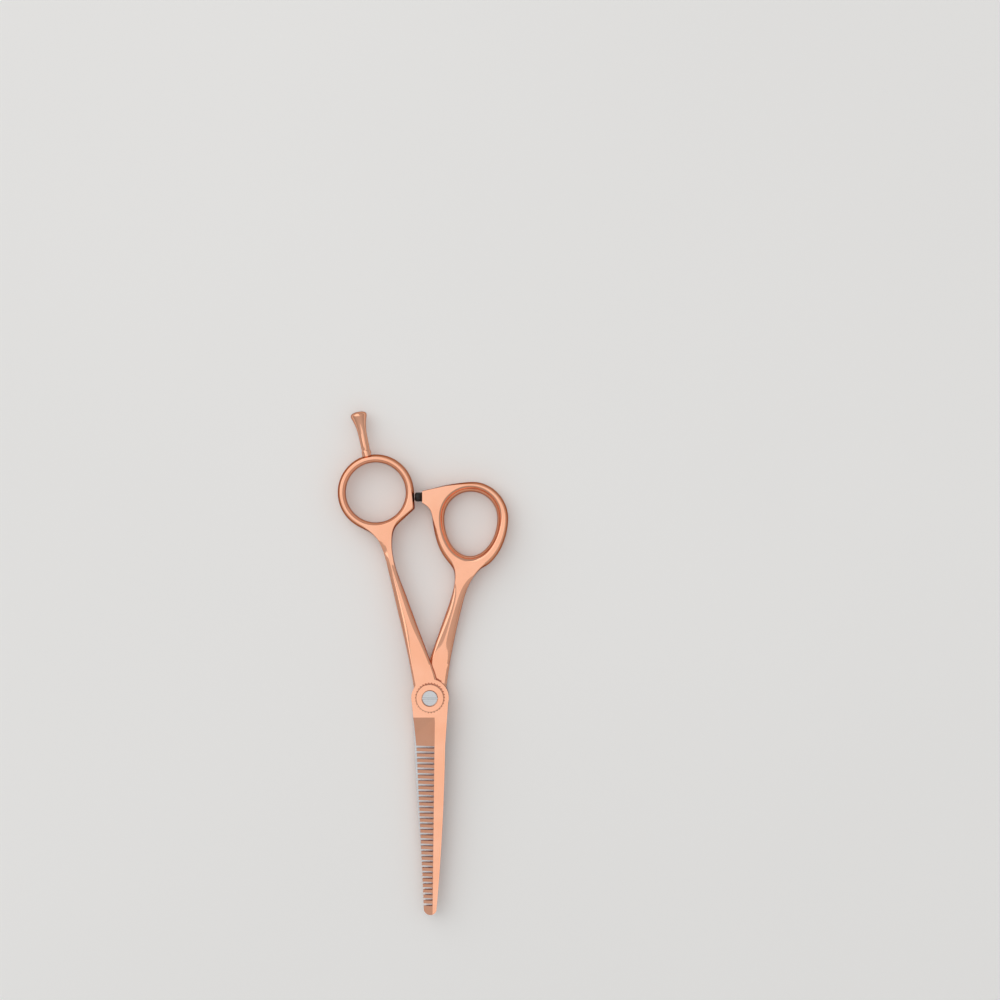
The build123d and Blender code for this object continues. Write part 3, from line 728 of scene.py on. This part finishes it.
# The rest's outline in millimetres. Its collar is so much wider than the waist, so high over the
# seat. Its flare is so many times as wide as the waist. Its rim is a share of the rim's radius, and
# its heights are counted from the end.
REST_COLLAR = (
    (0.12, -1.0), (0.14, 0.5), (0.14, 1.7), (0.08, 1.95),
    (-0.12, 2.0), (-0.08, 2.3), (0, 3.0), (0, 5.0),
)
REST_FLARE = ((1.02, 7.5), (1.12, 9.2), (1.3, 10.8), (1.58, 12.2))
REST_RIM = ((0.98, -1.7), (1.02, -1.3), (0.97, -0.75), (0.8, -0.3), (0.45, 0))


class SHEARS_OT_finger_rest(bpy.types.Operator):
    """Build the turned finger rest."""

    bl_idname = "shears.finger_rest"
    bl_label = "Finger Rest"

    def execute(self, context):
        rest = context.scene.shears_rests
        end, waist, rim = rest.rest_length, rest.rest_waist, rest.rest_rim
        outline = [(waist + wider * MM, height * MM) for wider, height in REST_COLLAR]
        outline += [(waist * share, height * MM) for share, height in REST_FLARE]
        outline += [(rim * share, end + height * MM) for share, height in REST_RIM]
        bm = bmesh.new()
        spin_profile(bm, [(0, outline[0][1]), *outline, (0, end)], REST_STEPS)
        seat = Matrix.Translation(Vector((*rest.rest_seat, ring_middle)))
        lean = Matrix.Rotation(rest.rest_lean, 4, "Z") @ Matrix.Rotation(-math.pi / 2, 4, "X")
        bmesh.ops.transform(bm, matrix=seat @ lean, verts=bm.verts)
        finished(
            bm, "turned_finger_rest", "finger_half", ["finger_rest"],
            ["coating"], REST_ROUNDS,
        )
        return {"FINISHED"}


class SHEARS_OT_bumper(bpy.types.Operator):
    """Finish the rubber bumper."""

    bl_idname = "shears.bumper"
    bl_label = "Bumper"

    def execute(self, context):
        bm = merged_copy("bumper")
        finished(bm, "moulded_bumper", "thumb_half", ["bumper"], ["rubber"])
        return {"FINISHED"}


# ---- blades and pivot ----
BLADE_BREAK = 0.07 * MM         # how far the blades' edges are broken
RIDE_END = 6.5 * MM             # the bare ride faces reach this far behind the pivot


class SHEARS_OT_blades(bpy.types.Operator):
    """Finish the two blades: coated outside, bare ground steel where they slide on each other."""

    bl_idname = "shears.blades"
    bl_label = "Blades"

    def execute(self, context):
        for node, body, up in (
            ("comb_blade", "finger_half", -1),
            ("plain_blade", "thumb_half", 1),
        ):
            low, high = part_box(node)
            bm = merged_copy(node)
            # The weld's end stays whole, where the shank carries on.
            break_edges(bm, BLADE_BREAK, kept=high.y)
            part_faces(bm, BLADE_BREAK)
            ride = high.z if up > 0 else low.z
            for face in bm.faces:
                middle = face.calc_center_median()
                facing = face.normal.z * up > 0.99 and abs(middle.z - ride) < FLUSH
                if facing and middle.y < RIDE_END:
                    face.material_index = 1
            weigh_normals(finished(
                bm, f"ground_{node}", body, [node], ["coating", "steel"]
            ))
        return {"FINISHED"}


class SHEARS_OT_pivot(bpy.types.Operator):
    """Finish the pivot: bolt, tension dial and dial screw with their edges broken."""

    bl_idname = "shears.pivot"
    bl_label = "Pivot"

    def execute(self, context):
        for node, name, body, slot, coat, width in (
            ("pivot_bolt", "turned_pivot_bolt", "thumb_half", "coated_steel", "coating", 0.06 * MM),
            ("tension_dial", "knurled_tension_dial", "dial", "coated_steel", "coating", 0.05 * MM),
            ("dial_screw", "slotted_dial_screw", "thumb_half", "bare_steel", "steel", 0.05 * MM),
        ):
            bm = merged_copy(node)
            break_edges(bm, width)
            part_faces(bm, width)
            weigh_normals(finished(bm, name, body, [node], [coat]))
        return {"FINISHED"}


class SHEARS_OT_bearing(bpy.types.Operator):
    """Give the bush, the bearing, the washers and the click parts their finishes."""

    bl_idname = "shears.bearing"
    bl_label = "Bearing and Click Parts"

    def execute(self, context):
        for node, coat in {
            "glide_washer": "plastic",
            "pivot_bush": "bronze",
            "lower_race": "bearing",
            "bearing_balls": "bearing",
            "bearing_cage": "brass",
            "upper_race": "bearing",
            "spring_washer": "steel",
            "click_plate": "steel",
            "click_ball": "bearing",
            "click_spring": "steel",
        }.items():
            frame["nodes"][node].material_slots[0].material = finish(coat)
        return {"FINISHED"}


# ---- stage: metres and watts ----
FLOOR_REACH = 3                 # from the middle to each side
FLOOR_DRIFT = 0.4               # how wide the patches of its faint second colour are
WORLD_LEVELS = (0.4, 0.66)      # the light from the horizon and from overhead
LAMPS = (                       # name, place, width, power
    ("overhead_softbox", (0.02, 0.05, 1.6), 1.0, 1.3),
    ("key_softbox", (-1.5, 1.3, 1.9), 3.2, 26.0),
)
LAMP_AIM = (0, 0.03, 0)
SENSOR_WIDTH = 36               # millimetres, as the lens


class SHEARS_OT_stage(bpy.types.Operator):
    """Lay the pale floor, set the soft light and hang the camera overhead."""

    bl_idname = "shears.stage"
    bl_label = "Stage"

    def execute(self, context):
        stage = context.scene.shears_stage
        self.floor(context, stage)
        self.world(context)
        for lamp in LAMPS:
            self.lamp(context, *lamp)
        self.camera(context, stage)
        context.scene.view_settings.view_transform = "Standard"
        return {"FINISHED"}

    def floor(self, context, stage):
        """A pale sheet of smooth card, far broader than the shears."""
        bm = bmesh.new()
        bmesh.ops.create_grid(bm, x_segments=8, y_segments=8, size=FLOOR_REACH)
        mesh = bpy.data.meshes.new("card_floor")
        bm.to_mesh(mesh)
        bm.free()
        floor = bpy.data.objects.new("card_floor", mesh)
        context.scene.collection.objects.link(floor)
        card = Surface("card_matt", Roughness=0.8)
        card.feed("Base Color", card.drift(stage.floor, stage.floor_dull, FLOOR_DRIFT))
        mesh.materials.append(card.material)

    def world(self, context):
        """Soft light from all round, brighter overhead, behind a white background."""
        world = bpy.data.worlds.new("soft_room")
        context.scene.world = world
        world.use_nodes = True
        tree = world.node_tree
        sky = tree.nodes["Background"]
        where = add_node(tree, "ShaderNodeTexCoord").outputs["Generated"]
        height = add_node(tree, "ShaderNodeSeparateXYZ", {0: where}).outputs["Z"]
        level = rescaled(tree, height, (0, 1), WORLD_LEVELS)
        seen = add_node(tree, "ShaderNodeLightPath").outputs["Is Camera Ray"]
        strength = add_node(tree, "ShaderNodeMix", {0: seen, 2: level, 3: 1.0}, data_type="FLOAT")
        sky.inputs["Color"].default_value = (*linear("#FFFFFF"), 1)
        tree.links.new(strength.outputs[0], sky.inputs["Strength"])

    def lamp(self, context, name, spot, width, power):
        """A square softbox aimed at the shears."""
        light = bpy.data.lights.new(name, "AREA")
        light.shape = "SQUARE"
        light.size = width
        light.energy = power
        lamp = bpy.data.objects.new(name, light)
        context.scene.collection.objects.link(lamp)
        lamp.location = spot
        aim = Vector(LAMP_AIM) - Vector(spot)
        lamp.rotation_euler = aim.to_track_quat("-Z", "Y").to_euler()

    def camera(self, context, stage):
        """A camera straight overhead, its lens chosen for the width that it has to see."""
        camera = bpy.data.cameras.new("overhead_camera")
        holder = bpy.data.objects.new("overhead_camera", camera)
        context.scene.collection.objects.link(holder)
        holder.location = (*stage.view_centre, stage.camera_height)
        camera.sensor_width = SENSOR_WIDTH
        camera.lens = SENSOR_WIDTH * (stage.camera_height - rings_top) / stage.view_width
        context.scene.camera = holder


# ---- add-on ----
GROUPS = {
    "shears_rings": RingSizes,
    "shears_rests": RestSizes,
    "shears_finishes": Finishes,
    "shears_stage": Stage,
}
OPERATORS = (
    SHEARS_OT_finger_handle,
    SHEARS_OT_thumb_handle,
    SHEARS_OT_finger_rest,
    SHEARS_OT_bumper,
    SHEARS_OT_blades,
    SHEARS_OT_pivot,
    SHEARS_OT_bearing,
    SHEARS_OT_stage,
)


class SHEARS_PT_panel(bpy.types.Panel):
    """Lists the sizes, colours and building steps."""

    bl_idname = "SHEARS_PT_panel"
    bl_label = "Thinning Shears"
    bl_space_type = "VIEW_3D"
    bl_region_type = "UI"
    bl_category = "Shears"

    def draw(self, context):
        for group in GROUPS:
            box = self.layout.box()
            settings = getattr(context.scene, group)
            for name in settings.__annotations__:
                box.prop(settings, name)
        for operator in OPERATORS:
            self.layout.operator(operator.bl_idname)


def register():
    """Adds the classes and the scene's settings to Blender."""
    for name, group in GROUPS.items():
        bpy.utils.register_class(group)
        setattr(bpy.types.Scene, name, PointerProperty(type=group))
    for operator in OPERATORS:
        bpy.utils.register_class(operator)
    bpy.utils.register_class(SHEARS_PT_panel)


def unregister():
    """Takes them out again, the last added first."""
    bpy.utils.unregister_class(SHEARS_PT_panel)
    for operator in reversed(OPERATORS):
        bpy.utils.unregister_class(operator)
    for name, group in reversed(GROUPS.items()):
        delattr(bpy.types.Scene, name)
        bpy.utils.unregister_class(group)


def main():
    """Builds everything in order."""
    register()
    for operator in OPERATORS:
        family, name = operator.bl_idname.split(".")
        getattr(getattr(bpy.ops, family), name)()


if __name__ == "__main__":
    main()
